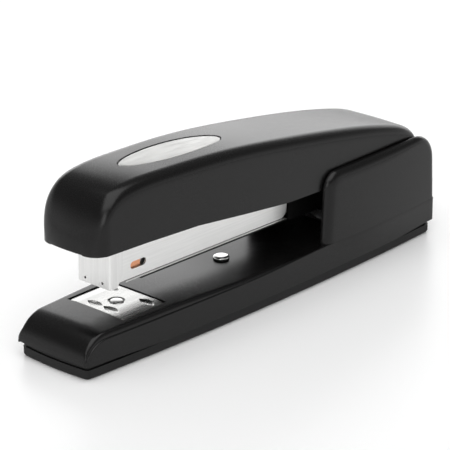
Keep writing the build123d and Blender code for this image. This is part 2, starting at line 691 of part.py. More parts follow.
def frame_top(x):
    """Height of the cover frame's top face at x."""
    points = [(st(s), z) for s, z in FRAME_TOP_LINE]
    for (xa, za), (xb, zb) in zip(points, points[1:]):
        if xa <= x <= xb:
            return za + (zb - za) * (x - xa) / (xb - xa)
    return points[-1][1]


def make_cover_frame():
    """The steel channel under the cover: a top and two sides that run back to the hinge pin."""
    low_line = [(PIN_STATION, PIN_Z - FRAME_EAR_R + 0.2), (PIN_STATION - 9, PIN_Z - 4), (140, 38.5),
                (FRAME_FRONT, 46.5)]
    side = side_polygon(FRAME_TOP_LINE + low_line)
    side += Pos(PIN_X, PIN_Z) * Circle(FRAME_EAR_R)
    body = upright_profile(side, 2 * FRAME_HALF)
    under = [(s, z - FRAME_SHEET) for s, z in FRAME_TOP_LINE[:-1]]
    front_z, rear_z = FRAME_TOP_LINE[0][1] - FRAME_SHEET, FRAME_TOP_LINE[-1][1]
    inner = side_polygon(under + [(LENGTH, rear_z), (LENGTH, 0), (0, 0), (0, front_z)])
    body -= upright_profile(inner, 2 * (FRAME_HALF - FRAME_SHEET))
    tongue = block(st(TAB_STATION), st(FRAME_FRONT) + 1, -TONGUE_HALF, TONGUE_HALF,
                   TONGUE_TOP - FRAME_SHEET, TONGUE_TOP)
    tab = block(st(TAB_STATION), st(TAB_STATION) + FRAME_SHEET, -TONGUE_HALF, TONGUE_HALF,
                TAB_LOW, TONGUE_TOP)
    body += tongue + tab
    body -= across(PIN_R + RUNNING, LENGTH, PIN_X, PIN_Z)
    for s in FRAME_RIVET_STATIONS:
        body -= upright(RIVET_R, st(s), 0, 0, LENGTH)
    return body - blade_rivet_holes()


def blade_rivet_holes():
    """The two rivets that hold the driver blade to the frame's tab."""
    bars = []
    for y in (-BLADE_RIVET_Y, BLADE_RIVET_Y):
        x = st(TAB_STATION)
        bars.append(Pos(x, y, BLADE_TOP - 3) * Rot(0, 90, 0) * Cylinder(BLADE_RIVET_R, 8))
    return Compound(bars)


def make_cover_rivets():
    rivets = []
    for s in FRAME_RIVET_STATIONS:
        x = st(s)
        low = frame_top(x) - FRAME_SHEET - RIVET_SINK
        shank = upright(RIVET_R, x, 0, low, frame_top(x) + BOSS_HOLE)
        head = upright(RIVET_HEAD_R, x, 0, low - 0.6, low)
        rivets.append(shank + head)
    return Compound(rivets)


def make_driver_blade():
    """The plate that drives the front staple out of the nose."""
    x1 = st(TAB_STATION)
    blade = block(x1 - BLADE_THICK, x1, -BLADE_HALF, BLADE_HALF, BLADE_TIP, BLADE_TOP)
    return blade - blade_rivet_holes()


def make_blade_rivets():
    x1 = st(TAB_STATION)
    rivets = []
    for y in (-BLADE_RIVET_Y, BLADE_RIVET_Y):
        z = BLADE_TOP - 3
        long = BLADE_THICK + FRAME_SHEET
        middle = x1 + (FRAME_SHEET - BLADE_THICK) / 2
        shank = Pos(middle, y, z) * Rot(0, 90, 0) * Cylinder(BLADE_RIVET_R, long)
        head = Pos(x1 - BLADE_THICK - 0.25, y, z) * Rot(0, 90, 0) * Cylinder(BLADE_RIVET_R + 0.7, 0.5)
        rivets.append(shank + head)
    return Compound(rivets)


# ---- Write every piece ---------------------------------------------------------------------
PIECES = {
    "base_shell": make_base_shell,
    "rubber_sole": make_rubber_sole,
    "hinge_bracket": make_hinge_bracket,
    "bracket_rivets": make_bracket_rivets,
    "base_return_spring": make_base_return_spring,
    "deck_stud": make_deck_stud,
    "stud_washer": make_stud_washer,
    "anvil_plate": make_anvil_plate,
    "anvil_post": make_anvil_post,
    "anvil_spring": make_anvil_spring,
    "hinge_pin": make_hinge_pin,
    "pin_clips": make_pin_clips,
    "pin_bushes": make_pin_bushes,
    "magazine_sheath": make_magazine_sheath,
    "nose_plate": make_nose_plate,
    "staple_rail": make_staple_rail,
    "runner_strip": make_runner_strip,
    "magazine_carrier": make_magazine_carrier,
    "magazine_rivets": make_magazine_rivets,
    "guide_rod": make_guide_rod,
    "rod_anchor": make_rod_anchor,
    "pusher_spring": make_pusher_spring,
    "spring_seat": make_spring_seat,
    "cover_return_spring": make_cover_return_spring,
    "pusher": make_pusher,
    "cover_shell": make_cover_shell,
    "emblem_plate": make_emblem_plate,
    "cover_frame": make_cover_frame,
    "cover_rivets": make_cover_rivets,
    "driver_blade": make_driver_blade,
    "blade_rivets": make_blade_rivets,
}
for name, make in PIECES.items():
    save(name, make())
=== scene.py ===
import math

import bmesh
import bpy
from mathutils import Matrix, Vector


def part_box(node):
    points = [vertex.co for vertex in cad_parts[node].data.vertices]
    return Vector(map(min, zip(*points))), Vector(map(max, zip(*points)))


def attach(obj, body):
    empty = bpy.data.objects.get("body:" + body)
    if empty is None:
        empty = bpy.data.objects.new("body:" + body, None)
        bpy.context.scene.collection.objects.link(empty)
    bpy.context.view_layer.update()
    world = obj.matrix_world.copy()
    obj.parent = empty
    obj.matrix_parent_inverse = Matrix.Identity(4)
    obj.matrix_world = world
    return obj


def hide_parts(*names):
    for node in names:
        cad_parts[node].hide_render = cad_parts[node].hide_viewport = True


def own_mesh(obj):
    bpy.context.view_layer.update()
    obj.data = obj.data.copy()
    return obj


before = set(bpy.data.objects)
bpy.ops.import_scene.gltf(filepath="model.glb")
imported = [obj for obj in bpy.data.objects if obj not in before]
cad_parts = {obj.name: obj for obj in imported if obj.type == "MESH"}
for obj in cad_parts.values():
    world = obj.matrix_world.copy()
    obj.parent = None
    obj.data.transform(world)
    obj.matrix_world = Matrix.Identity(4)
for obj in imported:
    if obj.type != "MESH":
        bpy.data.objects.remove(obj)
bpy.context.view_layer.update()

# A desk stapler. Metres. The nose points to -X, the hinge is at +X, +Z is up, and the whole is
# symmetric about y = 0. Lengths below are written in millimetres and scaled by MM. A "station" is
# a distance back from the base's front edge.
MM = 0.001
BASE_LOW, BASE_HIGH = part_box("base_shell")
MAG_PITCH = math.radians(0.9)      # the magazine is tipped nose-up about the pin by this much


def st(station):
    """X of a station given in millimetres."""
    return BASE_LOW.x + station * MM


# ---- Camera, floor and light ---------------------------------------------------------------
CAMERA_AZIMUTH = -47.93
CAMERA_ELEVATION = 21.71
CAMERA_DISTANCE = 0.9506
CAMERA_LENS = 207.2
CAMERA_SHIFT = (-0.0211, -0.0249)
CAMERA_TARGET = Vector((0, 0, 0.030))


def make_camera():
    data = bpy.data.cameras.new("camera")
    camera = bpy.data.objects.new("camera", data)
    bpy.context.scene.collection.objects.link(camera)
    azimuth, elevation = math.radians(CAMERA_AZIMUTH), math.radians(CAMERA_ELEVATION)
    level = math.cos(elevation)
    back = Vector((math.sin(azimuth) * level, -math.cos(azimuth) * level, math.sin(elevation)))
    camera.location = CAMERA_TARGET + back * CAMERA_DISTANCE
    camera.rotation_euler = back.to_track_quat("Z", "Y").to_euler()
    data.lens = CAMERA_LENS
    data.sensor_width = 36
    data.shift_x, data.shift_y = CAMERA_SHIFT
    data.clip_start = 0.01
    data.clip_end = 20
    bpy.context.scene.camera = camera


def make_light(name, place, target, size, power):
    data = bpy.data.lights.new(name, "AREA")
    data.shape = "RECTANGLE"
    data.size, data.size_y = size
    data.energy = power
    light = bpy.data.objects.new(name, data)
    light.visible_camera = False
    bpy.context.scene.collection.objects.link(light)
    light.location = place
    light.rotation_euler = (Vector(place) - Vector(target)).to_track_quat("Z", "Y").to_euler()


def make_world():
    """A studio: white round the horizon and below it, and dim overhead."""
    world = bpy.data.worlds.new("studio")
    bpy.context.scene.world = world
    world.use_nodes = True
    tree = world.node_tree
    background = tree.nodes["Background"]
    place = tree.nodes.new("ShaderNodeTexCoord")
    split = tree.nodes.new("ShaderNodeSeparateXYZ")
    ramp = tree.nodes.new("ShaderNodeValToRGB")
    tree.links.new(place.outputs["Generated"], split.inputs["Vector"])
    tree.links.new(split.outputs["Z"], ramp.inputs["Fac"])
    tree.links.new(ramp.outputs["Color"], background.inputs["Color"])
    ramp.color_ramp.elements[0].position = 0.10
    ramp.color_ramp.elements[0].color = (1.0, 1.0, 1.0, 1)
    ramp.color_ramp.elements[1].position = 0.42
    ramp.color_ramp.elements[1].color = (0.22, 0.22, 0.22, 1)
    background.inputs["Strength"].default_value = 1.0


def make_studio():
    make_world()
    make_light("back_softbox", (0.95, 0.85, 0.42), (0, 0, 0.03), (1.9, 0.62), 6.0)
    make_light("top_softbox", (-0.25, -0.20, 1.10), (0, 0, 0.03), (1.4, 1.4), 13.0)
    make_light("front_softbox", (-1.00, -0.55, 0.50), (0, 0, 0.03), (0.5, 0.5), 1.8)
    mesh = bpy.data.meshes.new("floor")
    half = 3.0
    corners = [(-half, -half, 0), (half, -half, 0), (half, half, 0), (-half, half, 0)]
    mesh.from_pydata(corners, [], [(0, 1, 2, 3)])
    floor = bpy.data.objects.new("floor", mesh)
    bpy.context.scene.collection.objects.link(floor)
    paper = material("floor_paper", (0.97, 0.97, 0.97), 0.34, speckle=0.002, rough_spread=0.002)
    floor.data.materials.append(paper)


# ---- Materials -----------------------------------------------------------------------------
def node(tree, kind, **sockets):
    made = tree.nodes.new(kind)
    for name, value in sockets.items():
        made.inputs[name.replace("_", " ")].default_value = value
    return made


def coordinates(tree, stretch):
    """Object coordinates, stretched so that noise runs along one axis, for brushed metal."""
    place = tree.nodes.new("ShaderNodeTexCoord")
    mapping = node(tree, "ShaderNodeMapping", Scale=stretch)
    tree.links.new(place.outputs["Object"], mapping.inputs["Vector"])
    return mapping.outputs["Vector"]


def noise(tree, vector, scale, detail=3.0):
    made = node(tree, "ShaderNodeTexNoise", Scale=scale, Detail=detail)
    tree.links.new(vector, made.inputs["Vector"])
    return made.outputs["Fac"]


def spread(tree, value, low, high):
    """Maps noise around 0.5 to the range low to high."""
    made = node(tree, "ShaderNodeMapRange", From_Min=0.3, From_Max=0.7, To_Min=low, To_Max=high)
    tree.links.new(value, made.inputs["Value"])
    return made.outputs["Result"]


def material(name, colour, roughness, metallic=0.0, speckle=0.06, scale=900.0, bump=0.0,
             stretch=(1, 1, 1), rough_spread=0.05, shine=0.5, blotch=0.0):
    """A surface whose colour and roughness vary with noise, with a fine relief from the same noise."""
    made = bpy.data.materials.new(name)
    made.use_nodes = True
    tree = made.node_tree
    shader = tree.nodes["Principled BSDF"]
    shader.inputs["Metallic"].default_value = metallic
    shader.inputs["Specular IOR Level"].default_value = shine
    vector = coordinates(tree, stretch)
    grain = noise(tree, vector, scale)
    cloud = noise(tree, coordinates(tree, (1, 1, 1)), 45.0, 2.0)
    mix = node(tree, "ShaderNodeMix")
    mix.data_type = "RGBA"
    dark = [c * (1 - speckle) for c in colour] + [1]
    light = [min(1.0, c * (1 + speckle)) for c in colour] + [1]
    mix.inputs[6].default_value = dark
    mix.inputs[7].default_value = light
    tree.links.new(spread(tree, grain, 0.0, 1.0), mix.inputs["Factor"])
    tree.links.new(mix.outputs[2], shader.inputs["Base Color"])
    total = tree.nodes.new("ShaderNodeMath")
    total.operation = "ADD"
    tree.links.new(spread(tree, grain, roughness - rough_spread, roughness + rough_spread), total.inputs[0])
    tree.links.new(spread(tree, cloud, -blotch, blotch), total.inputs[1])
    tree.links.new(total.outputs[0], shader.inputs["Roughness"])
    if bump:
        relief = node(tree, "ShaderNodeBump", Strength=bump, Distance=0.0001)
        tree.links.new(grain, relief.inputs["Height"])
        tree.links.new(relief.outputs["Normal"], shader.inputs["Normal"])
    return made


def make_materials():
    along = (0.03, 1, 1)           # brushed along X
    upright = (1, 1, 0.04)         # brushed up and down
    return {
        "paint": material("black_paint", (0.0035, 0.0033, 0.0033), 0.26, speckle=0.25, scale=3500,
                          bump=0.006, rough_spread=0.02, blotch=0.01, shine=0.30),
        "rubber": material("sole_rubber", (0.010, 0.010, 0.010), 0.55, speckle=0.25, scale=2500,
                           bump=0.3, shine=0.25),
        "chrome": material("anvil_steel", (0.56, 0.56, 0.55), 0.26, 1.0, speckle=0.04, scale=700,
                           stretch=along, bump=0.06, rough_spread=0.06),
        "sheath": material("sheath_steel", (0.86, 0.86, 0.85), 0.38, 1.0, speckle=0.05, scale=1500,
                           stretch=along, bump=0.12, rough_spread=0.06),
        "nose": material("nose_steel", (0.84, 0.84, 0.83), 0.36, 1.0, speckle=0.06, scale=1200,
                         stretch=upright, bump=0.12, rough_spread=0.06),
        "spring": material("spring_steel", (0.42, 0.42, 0.43), 0.30, 1.0, speckle=0.10, scale=1800,
                           bump=0.10),
        "copper": material("copper_plate", (0.78, 0.36, 0.20), 0.30, 1.0, speckle=0.10, scale=900,
                           bump=0.10),
        "emblem": material("emblem_metal", (0.44, 0.44, 0.43), 0.38, 1.0, speckle=0.10, scale=1800,
                           stretch=along, bump=0.25, rough_spread=0.10),
        "dark": material("dark_steel", (0.004, 0.004, 0.004), 0.40, speckle=0.15, scale=1300,
                         bump=0.05, shine=0.15),
        "stud": material("stud_steel", (0.74, 0.74, 0.73), 0.20, 1.0, speckle=0.08, scale=500,
                         bump=0.35, rough_spread=0.08),
        "zinc": material("zinc_steel", (0.50, 0.50, 0.48), 0.36, 1.0, speckle=0.08, scale=1100, bump=0.15),
    }


NODE_FINISH = {
    "base_shell": "paint", "rubber_sole": "rubber", "hinge_bracket": "dark", "bracket_rivets": "zinc",
    "base_return_spring": "spring", "deck_stud": "stud", "stud_washer": "rubber",
    "anvil_plate": "chrome", "anvil_post": "chrome", "anvil_spring": "spring",
    "hinge_pin": "zinc", "pin_clips": "spring", "pin_bushes": "zinc",
    "magazine_sheath": "sheath", "nose_plate": "nose", "staple_rail": "zinc",
    "runner_strip": "chrome", "magazine_carrier": "dark", "magazine_rivets": "zinc",
    "guide_rod": "chrome", "rod_anchor": "dark", "pusher_spring": "spring", "spring_seat": "dark",
    "cover_return_spring": "spring", "pusher": "copper", "cover_shell": "paint",
    "emblem_plate": "emblem", "cover_frame": "zinc", "cover_rivets": "zinc",
    "driver_blade": "spring", "blade_rivets": "zinc",
}


def finish_cad_nodes(finishes):
    """Each CAD node that still shows gets its own procedural finish."""
    for name, finish in NODE_FINISH.items():
        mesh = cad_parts[name].data
        mesh.materials.clear()
        mesh.materials.append(finishes[finish])


# ---- Curves and meshes ---------------------------------------------------------------------
def bending(knots, values):
    """Second derivatives, at the knots, of the natural cubic spline through the values."""
    count = len(knots)
    upper, right = [0.0] * count, [0.0] * count
    for i in range(1, count - 1):
        before, after = knots[i] - knots[i - 1], knots[i + 1] - knots[i]
        turn = (values[i + 1] - values[i]) / after - (values[i] - values[i - 1]) / before
        pivot = 2 * (before + after) - before * upper[i - 1]
        upper[i] = after / pivot
        right[i] = (6 * turn - before * right[i - 1]) / pivot
    second = [0.0] * count
    for i in range(count - 2, 0, -1):
        second[i] = right[i] - upper[i] * second[i + 1]
    return second


def spline(points, steps=40):
    """Many points along the smooth curve through the given (station, z) points."""
    knots = [0.0]
    for a, b in zip(points, points[1:]):
        knots.append(knots[-1] + math.dist(a, b))
    second = [bending(knots, [p[k] for p in points]) for k in (0, 1)]
    curve = []
    for i in range(len(points) - 1):
        gap = knots[i + 1] - knots[i]
        for step in range(steps):
            b = step / steps
            a = 1 - b
            bend_a, bend_b = (a ** 3 - a) * gap ** 2 / 6, (b ** 3 - b) * gap ** 2 / 6
            curve.append(tuple(a * points[i][k] + b * points[i + 1][k]
                               + bend_a * second[k][i] + bend_b * second[k][i + 1] for k in (0, 1)))
    return curve + [tuple(points[-1])]


def walk(curve, spacing):
    """Points along a curve, spacing(station) apart, with both its ends."""
    chosen, gone = [curve[0]], 0.0
    for a, b in zip(curve, curve[1:]):
        long = math.dist(a, b)
        at = spacing(chosen[-1][0]) - gone
        while at <= long:
            share = at / long
            chosen.append(tuple(p + (q - p) * share for p, q in zip(a, b)))
            gone = -at
            at += spacing(chosen[-1][0])
        gone += long
    chosen[-1] = curve[-1]
    return chosen


def inward(line, inset):
    """A line of (station, z) points moved square to itself, to its right-hand side."""
    moved = []
    for i, (s, z) in enumerate(line):
        (s0, z0), (s1, z1) = line[max(i - 1, 0)], line[min(i + 1, len(line) - 1)]
        long = math.dist((s0, z0), (s1, z1))
        moved.append((s + inset * (z1 - z0) / long, z - inset * (s1 - s0) / long))
    return moved


def height_on(line, station):
    """Height of a line of (station, z) points at a station, beyond its first rise."""
    for (s0, z0), (s1, z1) in zip(line, line[1:]):
        if s0 <= station <= s1:
            return z0 + (z1 - z0) * (station - s0) / (s1 - s0)
    return line[-1][1] if station > line[-1][0] else line[0][1]


def smooth_step(value, low, high):
    t = min(1.0, max(0.0, (value - low) / (high - low)))
    return t * t * (3 - 2 * t)


def half_width(station, front, rear, halves, corner_front, corner_rear):
    """Half width at a station of a boat-shaped plan with rounded corners."""
    t = (station - front) / (rear - front)
    width = halves[0] * (1 - t) * (1 - 2 * t) + 4 * halves[1] * t * (1 - t) + halves[2] * t * (2 * t - 1)
    for radius, into in ((corner_front, station - front), (corner_rear, rear - station)):
        if into < radius:
            width -= radius - math.sqrt(max(0.0, radius ** 2 - (radius - into) ** 2))
    return width


def place(station, y, z):
    """A point given in millimetres and by its station, in the row frame."""
    return Vector((st(station), y * MM, z * MM))


def finish_piece(name, bm, body, finish, replaced=(), sharp=32):
    """Makes an object of a mesh: smooth but for its sharp edges, riding on its body."""
    bmesh.ops.recalc_face_normals(bm, faces=bm.faces)
    for face in bm.faces:
        face.smooth = True
    for edge in bm.edges:
        if len(edge.link_faces) == 2 and edge.calc_face_angle() > math.radians(sharp):
            edge.smooth = False
    mesh = bpy.data.meshes.new(name)
    bm.to_mesh(mesh)
    bm.free()
    piece = bpy.data.objects.new(name, mesh)
    bpy.context.scene.collection.objects.link(piece)
    mesh.materials.append(finishes[finish])
    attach(piece, body)
    if replaced:
        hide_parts(*replaced)
    return piece


def add_grid(bm, rows):
    """Quads between rows of points; returns the rows of vertices."""
    made = [[bm.verts.new(p) for p in row] for row in rows]
    for low, high in zip(made, made[1:]):
        for i in range(len(low) - 1):
            bm.faces.new((low[i], low[i + 1], high[i + 1], high[i]))
    return made


def rim_of(grid):
    """The vertices round a grid's border, in order."""
    right = [row[-1] for row in grid[1:]]
    left = [row[0] for row in grid[-2:0:-1]]
    return grid[0] + right + grid[-1][-2::-1] + left


def add_sheet(bm, outer, inner):
    """A closed sheet between two grids of points with the same counts."""
    loops = [rim_of(add_grid(bm, rows)) for rows in (outer, inner)]
    count = len(loops[0])
    for i in range(count):
        j = (i + 1) % count
        bm.faces.new((loops[0][i], loops[0][j], loops[1][j], loops[1][i]))


def lathe(bm, profile, centre, segments=64):
    """A closed turned solid about a vertical axis: (radius, z) points from axis to axis."""
    rings = []
    for radius, z in profile[1:-1]:
        turns = [2 * math.pi * i / segments for i in range(segments)]
        rings.append([bm.verts.new(centre + Vector((radius * math.cos(a), radius * math.sin(a), z)) * MM)
                      for a in turns])
    ends = [bm.verts.new(centre + Vector((0, 0, profile[k][1])) * MM) for k in (0, -1)]
    for i in range(segments):
        j = (i + 1) % segments
        for low, high in zip(rings, rings[1:]):
            bm.faces.new((low[i], low[j], high[j], high[i]))
        bm.faces.new((ends[0], rings[0][j], rings[0][i]))
        bm.faces.new((ends[1], rings[-1][i], rings[-1][j]))


def coil(bm, start, end, radius, wire, turns, per_turn=18, around=8):
    """A helical wire from start to end, with flat closed ends."""
    axis = (end - start).normalized()
    side = axis.orthogonal().normalized()
    other = axis.cross(side)
    steps = int(turns * per_turn)
    middle = []
    for i in range(steps + 1):
        a = 2 * math.pi * i / per_turn
        out = side * math.cos(a) + other * math.sin(a)
        middle.append((start.lerp(end, i / steps) + out * (radius - wire), out))
    rings = []
    for i, (point, out) in enumerate(middle):
        ahead = (middle[min(i + 1, steps)][0] - middle[max(i - 1, 0)][0]).normalized()
        third = ahead.cross(out).normalized()
        turned = [2 * math.pi * k / around for k in range(around)]
        rings.append([bm.verts.new(point + (out * math.cos(b) + third * math.sin(b)) * wire)
                      for b in turned])
    for low, high in zip(rings, rings[1:]):
        for k in range(around):
            m = (k + 1) % around
            bm.faces.new((low[k], low[m], high[m], high[k]))
    bm.faces.new(rings[0])
    bm.faces.new(list(reversed(rings[-1])))


# ---- Cover ---------------------------------------------------------------------------------
SHEET = 1.2                  # thickness of the pressed steel of cover and base
# (station, z) points of the roof's middle line and of the skirt's lower edge
COVER_LINE = [(8.0, 42.6), (8.6, 47.0), (10.5, 53.0), (14.0, 59.0), (18.5, 63.0), (26, 65.0), (45, 65.3),
              (75, 63.8), (110, 59.6), (145, 54.0), (168, 49.0), (180, 43.8), (185.8, 36.5)]
COVER_SKIRT = [(8.0, 42.0), (15, 42.1), (33, 41.8), (58, 40.8), (84, 38.0), (105, 35.9), (122, 35.4),
               (150, 34.0), (164, 28.4), (169, 27.5), (175, 27.6), (180, 30.0), (184, 33.0), (185.8, 34.0)]
COVER_HALVES = (14.8, 17.2, 16.9)      # half width at the front, in the middle and at the rear
COVER_CORNER = 7.0           # rounding of the corners, seen from above
COVER_EDGE = 4.6             # rounding between wall and roof
COVER_CROWN = 0.35           # how far the roof falls from its middle to its edges
COVER_BOW = 1.0              # how far the front edge bows, and over what length
COVER_BOW_REACH = 25
COVER_ENDS = (26, 165)       # the grid is closer outside these stations
EMBLEM_LOW, EMBLEM_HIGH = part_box("emblem_plate")
EMBLEM_RIM = 0.45            # gap between the plate and its recess
EMBLEM_STATION = ((EMBLEM_LOW.x + EMBLEM_HIGH.x) / 2 - BASE_LOW.x) / MM
EMBLEM_SEMI = ((EMBLEM_HIGH.x - EMBLEM_LOW.x) / 2 / MM + EMBLEM_RIM,
               (EMBLEM_HIGH.y - EMBLEM_LOW.y) / 2 / MM + EMBLEM_RIM)
EMBLEM_DEPTH = 0.65
EMBLEM_SNAP = 0.24           # grid points this close to the recess's outline move onto it
ROOF_LOW = 50                # the roof is above this height wherever the recess is
RISE_POINTS = 30             # points of the roof's line in its steep rise at the front


def cover_spacing(station):
    """Distance between the roof's sections: closest round the emblem, and close at the ends."""
    if abs(station - EMBLEM_STATION) < EMBLEM_SEMI[0] + 1:
        return 0.45
    return 1.8 if COVER_ENDS[0] <= station <= COVER_ENDS[1] else 0.8


def loaf_section(half, low, top, edge, wall_count=10, edge_count=10, top_count=58):
    """Points (y, z) from one sill up the wall, over the rounded edge, across and down again."""
    edge = min(edge, 0.75 * (top - low), 0.75 * half)
    side = [(half, low + (top - edge - low) * i / wall_count) for i in range(wall_count)]
    for i in range(edge_count):
        angle = math.pi / 2 * i / edge_count
        side.append((half - edge * (1 - math.cos(angle)), top - edge * (1 - math.sin(angle))))
    flat = half - edge
    across = [(flat * (1 - 2 * i / top_count), top) for i in range(top_count + 1)]
    points = side + across + [(-y, z) for y, z in reversed(side)]
    lowered = []
    for y, z in points:
        lowered.append((y, z - COVER_CROWN * (y / half) ** 2 * (z - low) / (top - low)))
    return lowered


def cover_rows(inset):
    front, rear = COVER_LINE[0][0] + inset, COVER_LINE[-1][0] - inset
    halves = [h - inset for h in COVER_HALVES]
    rows = []
    for s, z in inward(walk(spline(COVER_LINE), cover_spacing), inset):
        s = min(max(s, front), rear)
        low = height_on(COVER_SKIRT, s)
        half = half_width(s, front, rear, halves, COVER_CORNER - inset, COVER_CORNER - inset)
        bow = COVER_BOW * max(0.0, 1 - (s - front) / COVER_BOW_REACH)
        section = loaf_section(half, low, max(z, low + 0.4), COVER_EDGE - inset)
        rows.append([(s + bow * (y / half) ** 2, y, height) for y, height in section])
    return rows


def emblem_distance(s, y):
    """Signed distance in millimetres from the emblem recess's oval outline, and the way out of it."""
    a, b = EMBLEM_SEMI
    u, v = (s - EMBLEM_STATION) / a, y / b
    level = math.hypot(u, v)
    if level < 0.2:
        return -b, (0.0, 0.0)
    way = (u / a / level, v / b / level)
    steep = math.hypot(*way)
    return (level - 1) / steep, (way[0] / steep, way[1] / steep)


def recessed(rows):
    """The cover's outer points, with the emblem's recess pressed in; border points lie on its oval."""
    pressed = []
    for row in rows:
        new = []
        for s, y, z in row:
            away, way = emblem_distance(s, y)
            if z > ROOF_LOW and abs(away) < EMBLEM_SNAP:
                s, y = s - way[0] * away, y - way[1] * away
            elif z > ROOF_LOW and away < 0:
                z -= EMBLEM_DEPTH
            new.append((s, y, z))
        pressed.append(new)
    return pressed


def make_cover_shell():
    bm = bmesh.new()
    outer = [[place(*p) for p in row] for row in recessed(cover_rows(0))]
    inner = [[place(*p) for p in row] for row in cover_rows(SHEET)]
    add_sheet(bm, outer, inner)
    finish_piece("cover_shell_painted", bm, "cover", "paint", ["cover_shell"])


def make_emblem_plate():
    """A plain oval plate with a rounded rim, lying in the recess."""
    line = walk(spline(COVER_LINE), cover_spacing)[RISE_POINTS:]
    a, b = (semi - EMBLEM_RIM for semi in EMBLEM_SEMI)
    bm = bmesh.new()
    rings = []
    around = 120
    steps = [(0.25, -0.15), (0.5, -0.15), (0.75, -0.15), (0.93, -0.15), (0.975, -0.18),
             (1.0, -0.32), (1.0, -0.6)]
    for share, drop in steps:
        ring = []
        for i in range(around):
            angle = 2 * math.pi * i / around
            s, y = EMBLEM_STATION + a * share * math.cos(angle), b * share * math.sin(angle)
            z = height_on(line, s) - COVER_CROWN * (y / COVER_HALVES[1]) ** 2 + drop
            ring.append(bm.verts.new(place(s, y, z)))
        rings.append(ring)
    for low, high in zip(rings, rings[1:]):
        for i in range(around):
            j = (i + 1) % around
            bm.faces.new((low[i], low[j], high[j], high[i]))
    bm.faces.new(rings[0])
    bm.faces.new(list(reversed(rings[-1])))
    finish_piece("emblem_oval", bm, "cover", "emblem", ["emblem_plate"], sharp=60)


# ---- Base ----------------------------------------------------------------------------------
DECK = 14.5                  # height of the steel deck that the parts stand on
DECK_FRONT = 15.8            # height of the painted deck's centre line round the anvil
DECK_REAR = 14.6             # and behind the stud
DECK_FALL = (40, 85)         # between these stations it comes down from one to the other
DECK_CROWN = 0.45            # how far the deck falls from its middle to its shoulders
NOSE_LONG = 11.0             # the deck's curve down to the lip at the toe
NOSE_RISE = 6                # ledge, shoulder and crown grow to full size over this height
LIP_FRONT = 5.5              # height of the shell's lower edge at the toe
LIP_SIDE = 4.3               # along the sides
LIP_REAR = 5.4               # and at the heel
LIP_FALL = (0, 45)           # the stations between which it falls behind the toe
LIP_RISE = (160, 189)        # and rises to the heel
CREASE_FRONT = 13.4          # height of the ledge between the walls and the deck's shoulders
CREASE_REAR = 14.4
CREASE_RISE = (80, 125)
BASE_LONG = (BASE_HIGH.x - BASE_LOW.x) / MM
REAR = BASE_LONG - 0.5       # where the base's walls end, before the bow of the rear edge
BASE_HALVES = (17.2, 21.4, 19.6)       # half width at the front, in the middle and at the rear
BASE_CORNER = 1.3            # rounding of the corners, seen from above
BASE_DRAFT = 0.8             # how far the walls lean in from the lip to the deck
BASE_BOW = 0.4               # how far the front and rear edges bow
BOW_REACH = (18, 12)         # over this length from the front and from the rear
LEDGE = 0.55                 # width of the ledge, and the rounding of its edge
SHOULDER_WIDE = 1.7
POCKET_ROOM = 14.6           # where the deck is narrower, its lines close up ahead of the pocket
WING_FRONT = 122.6           # station of the wings' front foot
WING_MERGE = 156.0           # behind this station the wall and the wing are one face
WING_HALVES = (20.7, 21.3, 19.6)
WING_FOOT = DECK - 0.1
WING_TOP = 42.0
WING_LEAN = (1.4, 1.0)       # how far the front and rear edges lean in from foot to top
WING_RADII = (7.0, 11.0)     # rounding of the top's front and rear corners
WING_ROLL = (4.2, 2.6)       # how far the rounded edge reaches in from the outline, front and rear
ROLL_STEPS = 9
EDGE_STEPS, CORNER_STEPS, TOP_STEPS = 12, 10, 30      # grid steps along the wing's outline
SLOT_HALF = 17.9             # the wings' edges roll in to this distance from the centre line
ANVIL_LOW, ANVIL_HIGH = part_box("anvil_plate")
ANVIL_ENDS = tuple((x - BASE_LOW.x) / MM for x in (ANVIL_LOW.x, ANVIL_HIGH.x))
ANVIL_HALF = ANVIL_HIGH.y / MM
ANVIL_STATION = sum(ANVIL_ENDS) / 2
ANVIL_GAP = 0.35             # round the plate in its pocket
POCKET_FLOOR = 14.7
ANVIL_TOP = 15.45


def lip(s):
    """Height of the shell's lower edge."""
    front = LIP_FRONT + (LIP_SIDE - LIP_FRONT) * smooth_step(s, *LIP_FALL)
    return front + (LIP_REAR - LIP_SIDE) * smooth_step(s, *LIP_RISE)


def deck_top(s, inset=0.0):
    """Height of the deck's centre line: a quarter ellipse from the lip, then nearly level."""
    level = DECK_FRONT + (DECK_REAR - DECK_FRONT) * smooth_step(s, *DECK_FALL) - inset
    if s >= NOSE_LONG:
        return level
    into = min(1.0, max(0.0, 1 - (s - inset) / (NOSE_LONG - inset)))
    return lip(s) + (level - lip(s)) * math.sqrt(1 - into ** 2)


def crease_height(s, inset=0.0):
    """Height of the ledge along the top of the wall."""
    crease = CREASE_FRONT + (CREASE_REAR - CREASE_FRONT) * smooth_step(s, *CREASE_RISE) - inset
    drop = deck_top(max(s, NOSE_LONG), inset) - crease
    top = deck_top(s, inset)
    return top - drop * min(1.0, (top - lip(s)) / NOSE_RISE)


def wing_half(s):
    return half_width(s, WING_FRONT, REAR, WING_HALVES, 0, BASE_CORNER)


def merging(s):
    """0 ahead of the wings, 1 where wall and wing have become one face."""
    return smooth_step(s, WING_FRONT - 6, WING_MERGE)


def wall_half(s, inset=0.0):
    """Half width of the base at its lip and at its crease."""
    front, rear = inset, REAR - inset
    halves = [h - inset for h in BASE_HALVES]
    corner = max(BASE_CORNER - inset, 0.5)
    low = half_width(min(s, rear), front, rear, halves, corner, corner)
    high = low - BASE_DRAFT * (deck_top(s) - lip(s)) / (DECK_FRONT - LIP_FRONT)
    high += (wing_half(min(s, rear)) - inset - high) * merging(s) * (s > WING_FRONT)
    return low, high


